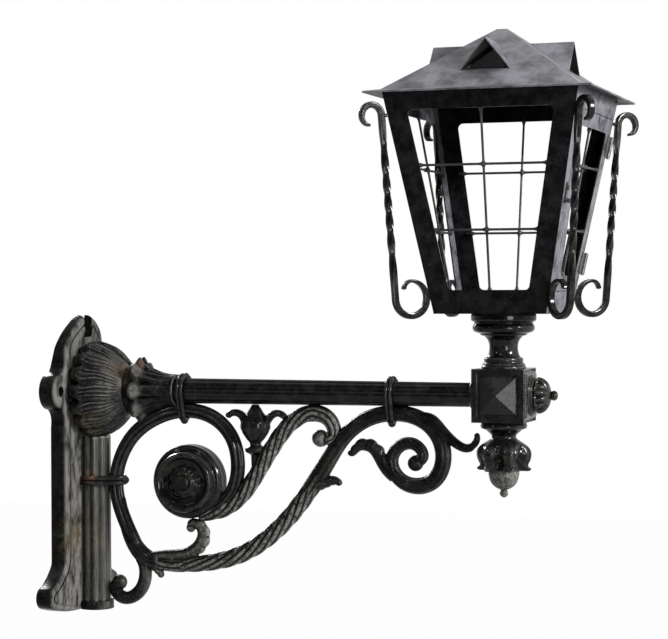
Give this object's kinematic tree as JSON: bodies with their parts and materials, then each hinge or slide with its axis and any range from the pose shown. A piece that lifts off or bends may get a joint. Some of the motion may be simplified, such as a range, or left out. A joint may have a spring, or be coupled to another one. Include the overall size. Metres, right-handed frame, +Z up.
{
  "type": "wall lantern",
  "caption": "Cast-iron scroll bracket on a wall plate, carrying a tapered square sheet lantern with rod grilles, a hinged door and a vented pyramid roof.",
  "frame": {"origin": "on the wall, at the back of the plate, at the height of the arm, midway between the two bolt holes", "axes": "+X out from the wall along the arm, +Z up, -Y towards the near side of the lantern"},
  "size_m": [0.6912, 0.2704, 0.6976],
  "materials": {
    "bracket_iron": "worn black gloss paint with rust",
    "roof_sheet": "faded black paint",
    "wall_sheet": "black satin paint",
    "rods": "black satin paint",
    "twisted_bar": "black satin paint",
    "fittings": "black paint",
    "porcelain": "glazed",
    "brass": "plain"
  },
  "bodies": {
    "bracket": {"arm_channel": "bracket_iron", "arm_collar_inner": "bracket_iron", "arm_collar_outer": "bracket_iron", "block": "bracket_iron", "column": "bracket_iron", "column_band": "bracket_iron", "column_foot": "bracket_iron", "corner_scroll_far_outer": "twisted_bar", "corner_scroll_far_wall": "twisted_bar", "corner_scroll_near_outer": "twisted_bar", "corner_scroll_near_wall": "twisted_bar", "door_surround": "wall_sheet", "end_finial": "bracket_iron", "fleuron": "bracket_iron", "floor_screws": "fittings", "grille_back": "rods", "grille_front": "rods", "grille_left": "rods", "hinge_leaf_fixed_lower": "fittings", "hinge_leaf_fixed_upper": "fittings", "hinge_pin_lower": "fittings", "hinge_pin_upper": "fittings", "lamp_contact": "brass", "lamp_holder": "porcelain", "lamp_shell": "brass", "lantern_floor": "wall_sheet", "latch_rivet": "fittings", "leaf_socket": "bracket_iron", "lower_scroll": "bracket_iron", "neck": "bracket_iron", "panel_back": "wall_sheet", "panel_front": "wall_sheet", "panel_left": "wall_sheet", "pendant_acorn": "bracket_iron", "pendant_cup": "bracket_iron", "roof": "roof_sheet", "root_cup": "bracket_iron", "rope_scroll": "bracket_iron", "rosette_bolt": "fittings", "rosette_far": "bracket_iron", "rosette_near": "bracket_iron", "rosette_nut": "fittings", "scroll_studs": "twisted_bar", "stem_nut": "fittings", "stem_tube": "fittings", "vent_hood_back": "roof_sheet", "vent_hood_front": "roof_sheet", "vent_hood_outer": "roof_sheet", "vent_hood_wall": "roof_sheet", "volute_scroll": "bracket_iron", "wall_plate": "bracket_iron"},
    "door": {"door_frame": "wall_sheet", "grille_door": "rods", "hinge_leaf_door_upper": "fittings", "hinge_leaf_door_lower": "fittings"},
    "latch": {"latch_button": "fittings"}
  },
  "joints": [
    {"name": "door_hinge", "type": "hinge", "parent": "bracket", "child": "door", "pos_m": [0.64734, 0.09134, 0.22122], "axis": [0.1799, 0.1799, 0.9671], "range_deg": [0, 85]},
    {"name": "latch_turn", "type": "hinge", "parent": "bracket", "child": "latch", "pos_m": [0.64785, -0.07985, 0.236], "axis": [0.9831, 0, -0.1829], "range_deg": [0, 90]}
  ]
}
